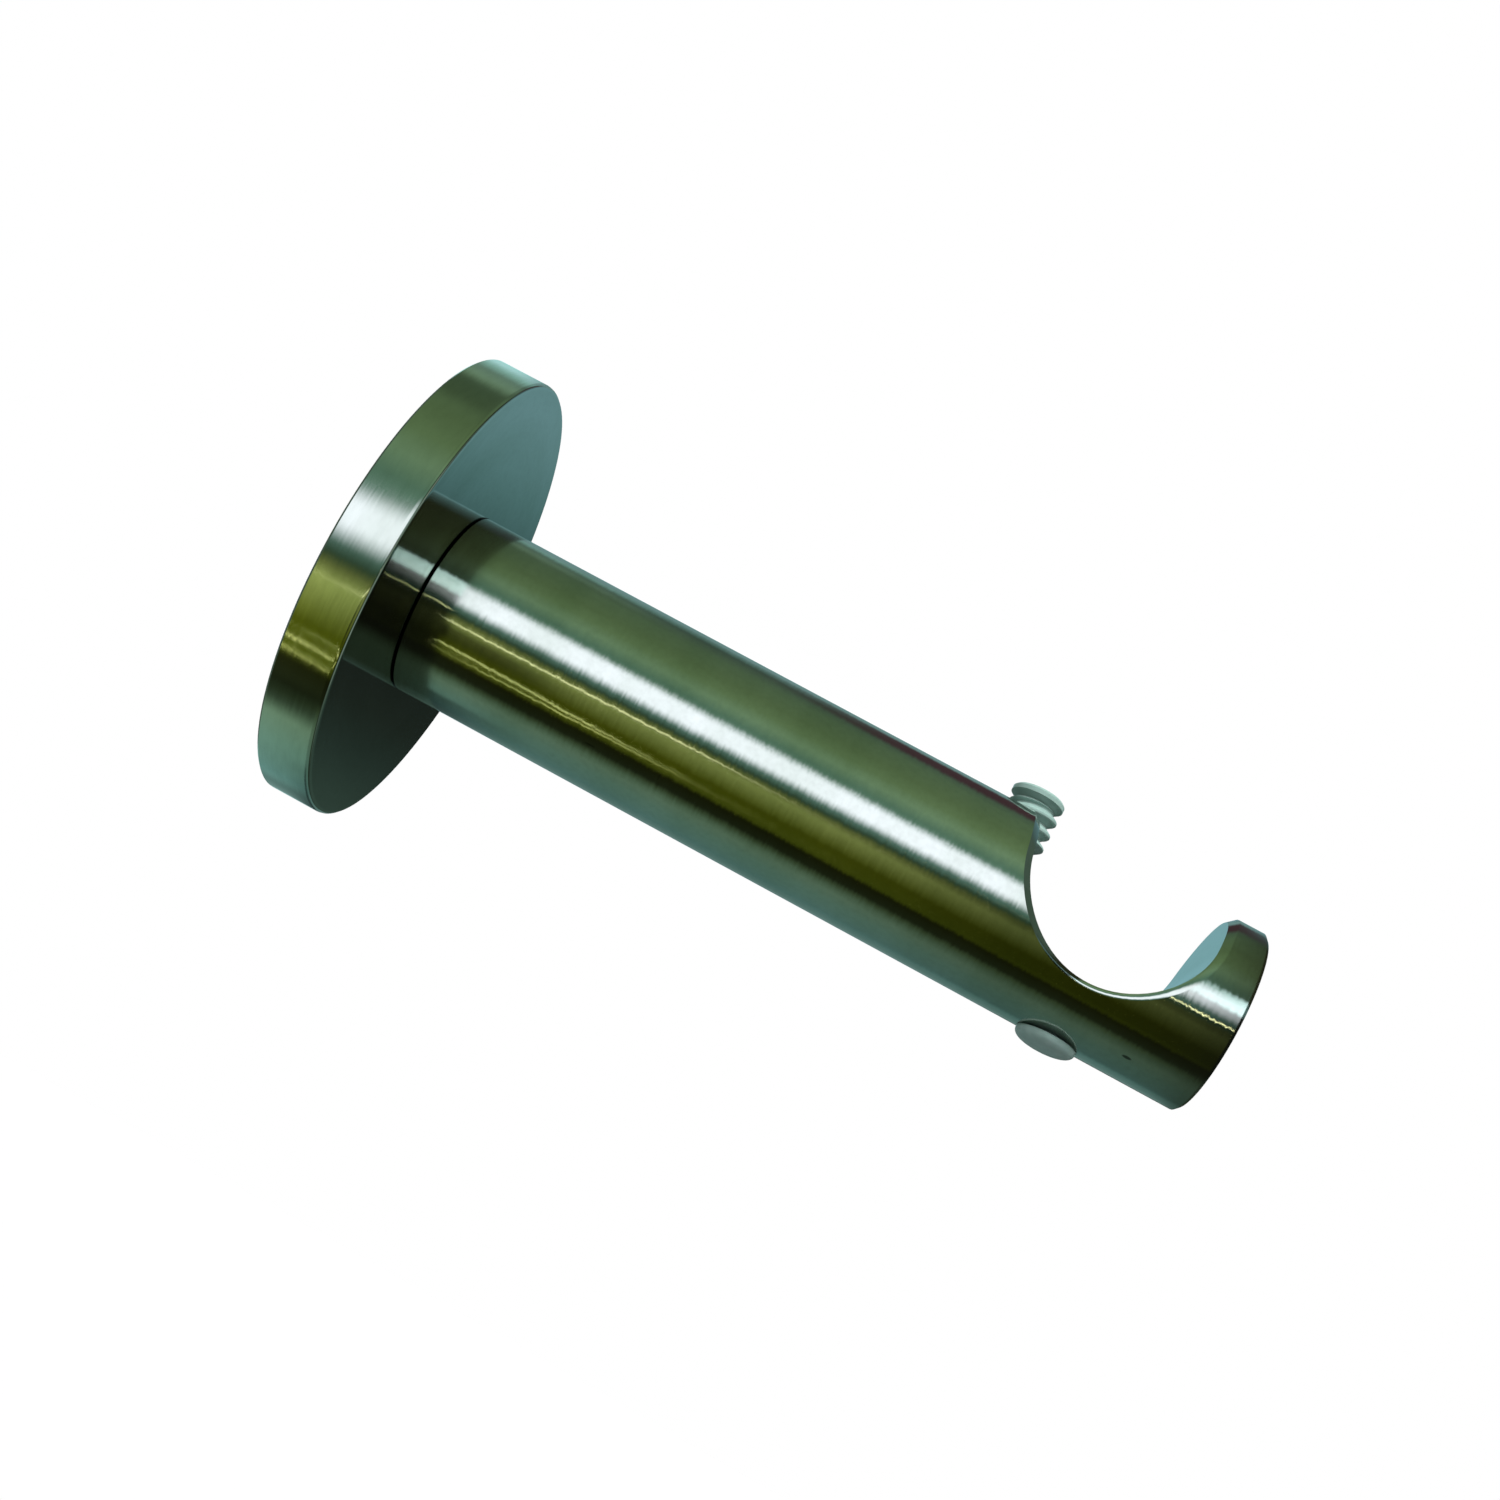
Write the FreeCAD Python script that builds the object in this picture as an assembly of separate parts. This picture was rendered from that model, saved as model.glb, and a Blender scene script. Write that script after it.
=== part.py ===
import FreeCAD, Part
import math
import os

# Curtain pole bracket for one wall fixing: a round rose on the wall, a solid round arm that stands square
# out of it, and a U-shaped seat across the arm that the pole drops into from above. A coarse headless screw
# beside the seat bites on the pole and locks it. Behind the rose a plate is screwed to the wall, and the
# arm is screwed on the stud that stands out of the plate, so that it clamps the rose.
# X runs out of the wall, Z is up, and the origin is on the wall, on the axis of the arm. Millimetres.

# Arm
ARM_DIAMETER = 25.0
ARM_LENGTH = 112.5
ARM_END_CHAMFER = 0.5
ARM_FOOT_CHAMFER = 0.25

# Rose
ROSE_DIAMETER = 62.5
ROSE_DEPTH = 7.5
ROSE_FACE_WALL = 2.0
ROSE_RIM_WALL = 2.0
ROSE_FRONT_ROUND = 0.7
ROSE_BACK_CHAMFER = 0.3
ROSE_INNER_BEVEL = 0.8

# Seat for the pole
POLE_DIAMETER = 25.0
POLE_CLEARANCE = 0.2
SEAT_TO_ARM_END = 18.4
SEAT_CENTRE_HEIGHT = 6.55
SEAT_FLARE_ANGLE = 6.5
SEAT_EDGE_CHAMFER = 1.0

# Lock screw
LOCK_SCREW_DIAMETER = 7.2
LOCK_SCREW_PITCH = 1.95
LOCK_THREAD_DEPTH = 0.9
LOCK_CREST_WIDTH = 0.6
LOCK_CREST_FLAT = 0.26
LOCK_CREST_CROWN = 0.12
LOCK_ROOT_WIDTH = 0.2
LOCK_THREAD_SINK = 0.1
LOCK_SCREW_LENGTH = 7.6
LOCK_SCREW_STANDS_OUT = 2.8
LOCK_SCREW_BITE = 1.9
LOCK_FIRST_CREST = 1.05
LOCK_POINT_CHAMFER = 0.9
LOCK_RIM_BEVEL = 0.3
LOCK_RIM_EDGE = 0.6
LOCK_RIM_FLANK = 0.65
LOCK_RUN_OUT = 0.8
HEX_KEY_SIZE = 3.0
HEX_SOCKET_DEPTH = 3.0
LOCK_HOLE_SPARE_DEPTH = 0.3

# Plug in the underside
PLUG_HEAD_DIAMETER = 8.1
PLUG_HEAD_HEIGHT = 1.43
PLUG_HEAD_EDGE_RADIUS = 1.2
PLUG_CROWN_FLAT = 3.0
PLUG_STEM_DIAMETER = 5.0
PLUG_STEM_LENGTH = 3.5

# Wall plate
PLATE_THICKNESS = 3.0
PLATE_EDGE_GAP = 0.75
PLATE_HUB_DIAMETER = 22.0
PLATE_HUB_FOOT_BEVEL = 1.0
WALL_SCREW_COUNT = 3
WALL_SCREW_CIRCLE = 40.0
WALL_SCREW_HOLE = 4.5
WALL_SCREW_HEAD = 8.5
WALL_SCREW_FIRST_ANGLE = 90.0

# Stud
STUD_DIAMETER = 8.0
STUD_IN_ARM = 12.0
STUD_END_CHAMFER = 0.8
STUD_HEAD_DIAMETER = 12.0
STUD_HEAD_THICKNESS = 1.2
STUD_HOLE_SPARE_DEPTH = 2.0
STUD_HOLE_MOUTH = 0.5

# Clearances
THREAD_CLEARANCE = 0.05
ROSE_HOLE_CLEARANCE = 0.2
STUD_HEAD_CLEARANCE = 0.1
PLUG_CLEARANCE = 0.03

# Drill points
DRILL_POINT_ANGLE = 118.0

# Rounded edges of the rose and the plug are drawn in this many flats
EASED_FLATS = 3

# A cutter reaches this far past the face that it starts from
OVERCUT = 2.0

# Worked out from the sizes above
ARM_RADIUS = ARM_DIAMETER / 2
ROSE_RADIUS = ROSE_DIAMETER / 2
REACH = ROSE_DEPTH + ARM_LENGTH
SEAT_TO_WALL = REACH - SEAT_TO_ARM_END
ROSE_FACE = ROSE_DEPTH
ROSE_INSIDE = ROSE_DEPTH - ROSE_FACE_WALL
RECESS_RADIUS = ROSE_RADIUS - ROSE_RIM_WALL
SEAT_RADIUS = POLE_DIAMETER / 2 + POLE_CLEARANCE
STUD_RADIUS = STUD_DIAMETER / 2
STUD_BORE_RADIUS = STUD_RADIUS + THREAD_CLEARANCE
STUD_HEAD_RADIUS = STUD_HEAD_DIAMETER / 2
LOCK_RADIUS = LOCK_SCREW_DIAMETER / 2
LOCK_CORE_RADIUS = LOCK_RADIUS - LOCK_THREAD_DEPTH
LOCK_BORE_RADIUS = LOCK_RADIUS + THREAD_CLEARANCE
LOCK_X = SEAT_TO_WALL - SEAT_RADIUS + LOCK_SCREW_BITE - LOCK_RADIUS
LOCK_TOP = ARM_RADIUS + LOCK_SCREW_STANDS_OUT
LOCK_BOTTOM = LOCK_TOP - LOCK_SCREW_LENGTH
PLUG_HEAD_RADIUS = PLUG_HEAD_DIAMETER / 2
PLUG_STEM_RADIUS = PLUG_STEM_DIAMETER / 2
PLUG_HEAD_TOP = -ARM_RADIUS - PLUG_CLEARANCE
PLUG_TOP = -ARM_RADIUS + PLUG_STEM_LENGTH

ALONG_ARM = FreeCAD.Vector(1, 0, 0)
ACROSS_ARM = FreeCAD.Vector(0, 1, 0)
UP = FreeCAD.Vector(0, 0, 1)
ORIGIN = FreeCAD.Vector(0, 0, 0)


def point(x, y, z):
    return FreeCAD.Vector(x, y, z)


def turned(outline):
    """Solid turned about the arm's axis from (x, radius) corners. A corner with a third value is rounded."""
    edges = rounded_edges(outline)
    face = Part.Face(Part.Wire(edges))
    return face.revolve(ORIGIN, ALONG_ARM, 360)


def rounded_edges(outline):
    """Straight edges round a closed outline in the XZ plane, with arcs at the corners that state a radius."""
    corners = [point(c[0], 0, c[1]) for c in outline]
    radii = [c[2] if len(c) > 2 else 0 for c in outline]
    count = len(corners)
    starts, ends, arcs = [None] * count, [None] * count, [None] * count
    for i, corner in enumerate(corners):
        radius = radii[i]
        if not radius:
            starts[i] = ends[i] = corner
            continue
        before = (corners[i - 1] - corner).normalize()
        after = (corners[(i + 1) % count] - corner).normalize()
        half = before.getAngle(after) / 2
        reach = radius / math.tan(half)
        starts[i] = corner + before * reach
        ends[i] = corner + after * reach
        middle = (before + after).normalize()
        arcs[i] = corner + middle * (radius / math.sin(half) - radius)
    edges = []
    for i in range(count):
        if arcs[i]:
            edges.append(Part.Arc(starts[i], arcs[i], ends[i]).toShape())
        following = starts[(i + 1) % count]
        if (following - ends[i]).Length > 1e-6:
            edges.append(Part.LineSegment(ends[i], following).toShape())
    return edges


def drilled(radius, depth, mouth, direction):
    """Cutter for a blind hole: starts OVERCUT outside the mouth, flat depth inwards, then a drill point."""
    start = mouth - direction * OVERCUT
    tip = radius / math.tan(math.radians(DRILL_POINT_ANGLE / 2))
    barrel = Part.makeCylinder(radius, depth + OVERCUT, start, direction)
    cone = Part.makeCone(radius, 0, tip, mouth + direction * depth, direction)
    return barrel.fuse(cone)


def eased_corner(x, radius, size):
    """Corner of a turned outline eased in a few flats, which stay close to an arc and keep the faces few."""
    steps = [math.radians(90 - 90 * i / EASED_FLATS) for i in range(EASED_FLATS + 1)]
    return [(x - size + size * math.cos(a), radius - size + size * math.sin(a)) for a in steps]


def rose():
    outline = [
        (0, RECESS_RADIUS),
        (0, ROSE_RADIUS - ROSE_BACK_CHAMFER),
        (ROSE_BACK_CHAMFER, ROSE_RADIUS),
        *eased_corner(ROSE_FACE, ROSE_RADIUS, ROSE_FRONT_ROUND),
        (ROSE_FACE, STUD_RADIUS + ROSE_HOLE_CLEARANCE),
        (ROSE_INSIDE, STUD_RADIUS + ROSE_HOLE_CLEARANCE),
        (ROSE_INSIDE, RECESS_RADIUS - ROSE_INNER_BEVEL),
        (ROSE_INSIDE - ROSE_INNER_BEVEL, RECESS_RADIUS),
    ]
    return turned(outline)


def wall_plate():
    """Round plate with a hub that meets the inside of the rose, and countersunk holes for the wall screws."""
    edge = RECESS_RADIUS - PLATE_EDGE_GAP
    hub = PLATE_HUB_DIAMETER / 2
    head_pocket = STUD_HEAD_RADIUS + STUD_HEAD_CLEARANCE
    outline = [
        (0, head_pocket),
        (0, edge),
        (PLATE_THICKNESS, edge),
        (PLATE_THICKNESS, hub + PLATE_HUB_FOOT_BEVEL),
        (PLATE_THICKNESS + PLATE_HUB_FOOT_BEVEL, hub),
        (ROSE_INSIDE, hub),
        (ROSE_INSIDE, STUD_BORE_RADIUS),
        (STUD_HEAD_THICKNESS, STUD_BORE_RADIUS),
        (STUD_HEAD_THICKNESS, head_pocket),
    ]
    plate = turned(outline)
    hole = WALL_SCREW_HOLE / 2
    head = WALL_SCREW_HEAD / 2
    for i in range(WALL_SCREW_COUNT):
        angle = math.radians(WALL_SCREW_FIRST_ANGLE + 360 * i / WALL_SCREW_COUNT)
        y = WALL_SCREW_CIRCLE / 2 * math.cos(angle)
        z = WALL_SCREW_CIRCLE / 2 * math.sin(angle)
        shank = Part.makeCylinder(hole, PLATE_THICKNESS + 2 * OVERCUT, point(-OVERCUT, y, z), ALONG_ARM)
        sink_depth = head - hole
        sink = Part.makeCone(hole, head, sink_depth, point(PLATE_THICKNESS - sink_depth, y, z), ALONG_ARM)
        plate = plate.cut(shank).cut(sink)
    return plate


def centre_stud():
    """Stud with a thin head let into the back of the plate, long enough to reach well into the arm."""
    end = ROSE_FACE + STUD_IN_ARM
    outline = [
        (0, 0),
        (0, STUD_HEAD_RADIUS),
        (STUD_HEAD_THICKNESS, STUD_HEAD_RADIUS),
        (STUD_HEAD_THICKNESS, STUD_RADIUS),
        (end - STUD_END_CHAMFER, STUD_RADIUS),
        (end, STUD_RADIUS - STUD_END_CHAMFER),
        (end, 0),
    ]
    return turned(outline)


def seat_cutter():
    """Bar across the arm with the seat's outline: round at the bottom, with walls that open upwards."""
    flare = math.radians(SEAT_FLARE_ANGLE)
    side = SEAT_RADIUS * math.cos(flare)
    spring = SEAT_CENTRE_HEIGHT - SEAT_RADIUS * math.sin(flare)
    bottom = SEAT_CENTRE_HEIGHT - SEAT_RADIUS
    top = ARM_RADIUS + OVERCUT
    mouth = side + (top - spring) * math.tan(flare)
    start = -ARM_RADIUS - OVERCUT
    left_foot = point(SEAT_TO_WALL - side, start, spring)
    right_foot = point(SEAT_TO_WALL + side, start, spring)
    left_top = point(SEAT_TO_WALL - mouth, start, top)
    right_top = point(SEAT_TO_WALL + mouth, start, top)
    arc = Part.Arc(left_foot, point(SEAT_TO_WALL, start, bottom), right_foot).toShape()
    right_wall = Part.LineSegment(right_foot, right_top).toShape()
    lid = Part.LineSegment(right_top, left_top).toShape()
    left_wall = Part.LineSegment(left_top, left_foot).toShape()
    face = Part.Face(Part.Wire([arc, right_wall, lid, left_wall]))
    return face.extrude(ACROSS_ARM * -2 * start)


def seat_edges(bar):
    """The edges where the seat comes out through the round surface of the arm."""
    found = []
    for edge in bar.Edges:
        if not ROSE_FACE + ARM_RADIUS < edge.CenterOfMass.x < REACH - 2 * ARM_END_CHAMFER:
            continue
        middle = edge.valueAt((edge.FirstParameter + edge.LastParameter) / 2)
        ends = [v.Point for v in edge.Vertexes]
        on_round = [abs(math.hypot(p.y, p.z) - ARM_RADIUS) < 1e-4 for p in ends + [middle]]
        straight_along = isinstance(edge.Curve, Part.Line)
        if all(on_round) and not straight_along:
            found.append(edge)
    return found


def arm():
    """Solid turned bar: seat across it, stud hole in its foot, and the holes for the lock screw and plug."""
    outline = [
        (ROSE_FACE, 0),
        (ROSE_FACE, ARM_RADIUS - ARM_FOOT_CHAMFER),
        (ROSE_FACE + ARM_FOOT_CHAMFER, ARM_RADIUS),
        (REACH - ARM_END_CHAMFER, ARM_RADIUS),
        (REACH, ARM_RADIUS - ARM_END_CHAMFER),
        (REACH, 0),
    ]
    bar = turned(outline).cut(seat_cutter())
    bar = bar.makeChamfer(SEAT_EDGE_CHAMFER, seat_edges(bar))
    bar = bar.cut(stud_hole()).cut(lock_screw_hole()).cut(plug_hole())
    return bar.removeSplitter()


def stud_hole():
    foot = point(ROSE_FACE, 0, 0)
    hole = drilled(STUD_BORE_RADIUS, STUD_IN_ARM + STUD_HOLE_SPARE_DEPTH, foot, ALONG_ARM)
    mouth = Part.makeCone(STUD_BORE_RADIUS + STUD_HOLE_MOUTH, STUD_BORE_RADIUS, STUD_HOLE_MOUTH, foot, ALONG_ARM)
    return hole.fuse(mouth)


def lock_screw_hole():
    """Blind hole from the top, just deep enough for the screw to be turned in until its rim meets the arm."""
    depth = LOCK_SCREW_LENGTH - LOCK_RIM_BEVEL - LOCK_RIM_EDGE + LOCK_HOLE_SPARE_DEPTH
    return drilled(LOCK_BORE_RADIUS, depth, point(LOCK_X, 0, ARM_RADIUS), UP * -1)


def plug_hole():
    """Flat-bottomed hole in the underside, for the plug's stem."""
    below = -ARM_RADIUS - OVERCUT
    return Part.makeCylinder(PLUG_STEM_RADIUS + PLUG_CLEARANCE, PLUG_TOP - below, point(SEAT_TO_WALL, 0, below), UP)


def upright(outline, x):
    """Solid turned about a vertical axis at x from (radius, height) corners, rounded where they say so."""
    face = Part.Face(Part.Wire(rounded_edges(outline)))
    solid = face.revolve(ORIGIN, UP, 360)
    solid.translate(point(x, 0, 0))
    return solid


def seat_plug():
    """Button with a low crown that runs into its eased edge, on a stem pushed into the arm."""
    edge = PLUG_HEAD_EDGE_RADIUS
    inner = PLUG_HEAD_RADIUS - edge
    bottom = PLUG_HEAD_TOP - PLUG_HEAD_HEIGHT
    side = [math.radians(90 * i / (EASED_FLATS + 1)) for i in range(EASED_FLATS + 1)]
    outline = [
        (0, PLUG_TOP),
        (PLUG_STEM_RADIUS, PLUG_TOP),
        (PLUG_STEM_RADIUS, PLUG_HEAD_TOP),
        *[(inner + edge * math.cos(a), PLUG_HEAD_TOP - edge * math.sin(a)) for a in side],
        (PLUG_CROWN_FLAT / 2, bottom),
        (0, bottom),
    ]
    return upright(outline, SEAT_TO_WALL)


def lock_thread():
    """One ridge wound round the core, with its crest eased off, longer than the screw at both ends.
    Its flanks run on a little way into the core, so that the two fuse cleanly."""
    foot = (LOCK_SCREW_PITCH - LOCK_ROOT_WIDTH) / 2
    shoulder = LOCK_CREST_WIDTH / 2
    crest = LOCK_CREST_FLAT / 2
    slope = (foot - shoulder) / (LOCK_THREAD_DEPTH - LOCK_CREST_CROWN)
    lower_half = [
        (LOCK_CORE_RADIUS - LOCK_THREAD_SINK, -foot - slope * LOCK_THREAD_SINK),
        (LOCK_RADIUS - LOCK_CREST_CROWN, -shoulder),
        (LOCK_RADIUS, -crest),
    ]
    upper_half = [(radius, -height) for radius, height in reversed(lower_half)]
    section = [point(radius, 0, height) for radius, height in lower_half + upper_half]
    turns = math.ceil(LOCK_SCREW_LENGTH / LOCK_SCREW_PITCH) + 1
    path = Part.makeHelix(LOCK_SCREW_PITCH, turns * LOCK_SCREW_PITCH, LOCK_CORE_RADIUS)
    ridge = Part.Wire(path).makePipeShell([Part.makePolygon(section + section[:1])], True, True)
    ridge.translate(point(0, 0, LOCK_FIRST_CREST - LOCK_SCREW_PITCH))
    return ridge


def hex_socket():
    corner = HEX_KEY_SIZE / math.sqrt(3)
    floor = LOCK_SCREW_LENGTH - HEX_SOCKET_DEPTH
    ring = [math.radians(60 * i) for i in range(7)]
    points = [point(corner * math.cos(a), corner * math.sin(a), floor) for a in ring]
    face = Part.Face(Part.makePolygon(points))
    return face.extrude(UP * (HEX_SOCKET_DEPTH + OVERCUT))


def lock_screw_envelope():
    """Blank that trims the thread: bevelled at the point, and drawn in to the core below the rim."""
    run_out_end = LOCK_SCREW_LENGTH - LOCK_RIM_BEVEL - LOCK_RIM_EDGE - LOCK_RIM_FLANK
    run_out_start = run_out_end - 2 * LOCK_RUN_OUT
    outline = [
        (0, 0),
        (LOCK_RADIUS - LOCK_POINT_CHAMFER, 0),
        (LOCK_RADIUS + LOCK_POINT_CHAMFER, 2 * LOCK_POINT_CHAMFER),
        (LOCK_RADIUS + LOCK_THREAD_DEPTH, run_out_start),
        (LOCK_CORE_RADIUS, run_out_end),
        (LOCK_CORE_RADIUS, LOCK_SCREW_LENGTH),
        (0, LOCK_SCREW_LENGTH),
    ]
    return upright(outline, 0)


def lock_rim():
    """Rim round the screw's top, as wide as the thread, with a sloping underside."""
    top = LOCK_SCREW_LENGTH
    shoulder = top - LOCK_RIM_BEVEL
    underside = shoulder - LOCK_RIM_EDGE
    outline = [
        (0, top),
        (LOCK_RADIUS - LOCK_RIM_BEVEL, top),
        (LOCK_RADIUS, shoulder),
        (LOCK_RADIUS, underside),
        (LOCK_CORE_RADIUS, underside - LOCK_RIM_FLANK),
        (0, underside - LOCK_RIM_FLANK),
    ]
    return upright(outline, 0)


def pole_lock_screw():
    """Coarse screw that is bevelled at its point and ends in a thin rim with a socket for a hex key."""
    core = Part.makeCylinder(LOCK_CORE_RADIUS, LOCK_SCREW_LENGTH)
    shank = core.fuse(lock_thread()).common(lock_screw_envelope())
    screw = shank.fuse(lock_rim()).cut(hex_socket())
    screw.translate(point(LOCK_X, 0, LOCK_BOTTOM))
    return screw


PIECES = {
    "wall_plate": wall_plate,
    "centre_stud": centre_stud,
    "rose": rose,
    "arm": arm,
    "pole_lock_screw": pole_lock_screw,
    "seat_plug": seat_plug,
}

os.makedirs("parts", exist_ok=True)
for name, make in PIECES.items():
    shape = make()
    solids = shape.Solids
    print(name, "valid", shape.isValid(), "solids", len(solids), "volume", round(shape.Volume, 1))
    shape.exportStep("parts/" + name + ".step")
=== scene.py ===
import bmesh
import bpy
import math
from mathutils import Matrix, Vector


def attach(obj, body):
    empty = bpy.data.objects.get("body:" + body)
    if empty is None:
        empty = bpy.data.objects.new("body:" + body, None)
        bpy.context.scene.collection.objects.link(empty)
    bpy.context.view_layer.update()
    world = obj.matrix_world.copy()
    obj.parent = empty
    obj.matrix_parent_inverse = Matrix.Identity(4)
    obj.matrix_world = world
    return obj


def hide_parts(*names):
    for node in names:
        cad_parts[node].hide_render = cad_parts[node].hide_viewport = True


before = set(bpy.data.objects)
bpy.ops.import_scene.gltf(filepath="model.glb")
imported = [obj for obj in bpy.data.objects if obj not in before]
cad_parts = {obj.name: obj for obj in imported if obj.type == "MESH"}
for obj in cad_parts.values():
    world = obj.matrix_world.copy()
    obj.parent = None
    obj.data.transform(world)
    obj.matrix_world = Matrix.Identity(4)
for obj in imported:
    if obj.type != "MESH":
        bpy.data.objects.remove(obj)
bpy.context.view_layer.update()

# The turned pieces share one axis: the arm's, which is X
ARM_RADIUS = 0.0125
ARM_RADIUS_MM = 12.5
ROSE_RADIUS = 0.03125


def linear(hex_colour):
    """An sRGB hex colour as the linear RGBA that the shaders take."""
    channels = [int(hex_colour[i:i + 2], 16) / 255 for i in (1, 3, 5)]
    curve = [c / 12.92 if c <= 0.04045 else ((c + 0.055) / 1.055) ** 2.4 for c in channels]
    return (*curve, 1.0)


def add(tree, kind, settings=None, **inputs):
    """Adds one node. settings are its properties, inputs its sockets: a value, or a socket to link from."""
    node = tree.nodes.new("ShaderNode" + kind)
    for name, value in (settings or {}).items():
        setattr(node, name, value)
    for name, value in inputs.items():
        key = int(name[1:]) if name[0] == "_" else name.replace("_", " ")
        if isinstance(value, bpy.types.NodeSocket):
            tree.links.new(value, node.inputs[key])
        else:
            node.inputs[key].default_value = value
    return node


def new_material(name):
    """Empty node material and its tree."""
    material = bpy.data.materials.new(name)
    material.use_nodes = True
    material.node_tree.nodes.clear()
    return material, material.node_tree


def finish_with(tree, shader):
    add(tree, "OutputMaterial", Surface=shader)


def ramp(tree, factor, stops):
    """Colour ramp from (place, hex colour) stops."""
    node = add(tree, "ValToRGB", _0=factor)
    elements = node.color_ramp.elements
    while len(elements) > 1:
        elements.remove(elements[-1])
    elements[0].position = stops[0][0]
    elements[0].color = linear(stops[0][1])
    for place, colour in stops[1:]:
        elements.new(place).color = linear(colour)
    return node


def mixed(tree, share, first, second):
    """Colour that goes from first to second as share goes from 0 to 1, also above white."""
    node = tree.nodes.new("ShaderNodeMix")
    node.data_type = "RGBA"
    node.clamp_result = False
    for socket, value in zip((node.inputs[0], node.inputs[6], node.inputs[7]), (share, first, second)):
        if isinstance(value, bpy.types.NodeSocket):
            tree.links.new(value, socket)
        else:
            socket.default_value = value
    return node.outputs[2]


def step_up(tree, value, start, end):
    """Smooth step from 0 at start to 1 at end. start may be the larger one."""
    return add(tree, "MapRange", {"interpolation_type": "SMOOTHSTEP"}, Value=value,
               _1=start, _2=end, _3=0.0, _4=1.0).outputs[0]


def product(tree, first, second):
    return add(tree, "Math", {"operation": "MULTIPLY"}, _0=first, _1=second).outputs[0]


def minus(tree, first, second):
    return add(tree, "Math", {"operation": "SUBTRACT"}, _0=first, _1=second).outputs[0]


def around_axis(tree):
    """Object coordinates of a turned piece: along the axis and from it in millimetres, and the turn in radians."""
    place = add(tree, "TexCoord")
    split = add(tree, "SeparateXYZ", Vector=place.outputs["Object"])
    along = add(tree, "Math", {"operation": "MULTIPLY"}, _0=split.outputs["X"], _1=1000.0)
    flat = add(tree, "CombineXYZ", Y=split.outputs["Y"], Z=split.outputs["Z"])
    out = add(tree, "VectorMath", {"operation": "LENGTH"}, _0=flat.outputs[0])
    outwards = add(tree, "Math", {"operation": "MULTIPLY"}, _0=out.outputs["Value"], _1=1000.0)
    turn = add(tree, "Math", {"operation": "ARCTAN2"}, _0=split.outputs["Z"], _1=split.outputs["Y"])
    return along.outputs[0], outwards.outputs[0], turn.outputs[0]


# Satin nickel: electroplated nickel on turned steel, brushed on the lathe with abrasive cloth. The fine
# grooves run round the axis. They spread a mirrored lamp along the arm and keep it narrow round it, and as
# they tilt a little to either side, its edges look ragged, like feathers.
GROOVE_SPACING_MM = 0.3
STROKE_LENGTH_MM = 3.0
GROOVE_TILT = 0.028
SMOOTHEST = 0.085
ROUGHEST = 0.12
# Faint dull spots in the plating, which break up the mirrored colours
SPOT_SIZE_MM = 0.9
SPOT_STRENGTH = 0.07
SPOT_SHADE = "#4A4C3C"
# The seam at the foot of the arm, where painted shade darkens it: along the axis, and out to the arm's surface, in
# millimetres
SEAM_ALONG_MM = (7.85, 7.65)
SEAM_OUT_MM = (12.6, 12.5)
SEAM_PAINTED_SHADE = "#050605"
# Dark of the wear marks, and of the painted shade under the plug's head
WEAR_AND_SHADOW_DARK = "#0A0D0A"
# Wear and painted shadow: centre and half sizes in millimetres, and how dark. A nick near the arm's end, two
# hairline scratches under the middle, and painted shade in the gap that the plug's head leaves against the round
# arm.
WEAR_AND_SHADOW_MARKS = [
    ((110.5, -5.87, -11.04), (0.75, 0.35, 0.25), 0.75),
    ((44.25, -8.84, -8.84), (0.06, 0.6, 0.6), 0.5),
    ((34.75, -8.36, -9.29), (0.9, 0.25, 0.1), 0.4),
    ((101.6, 0.0, -12.5), (4.7, 4.7, 1.6), 0.85),
]


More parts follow.
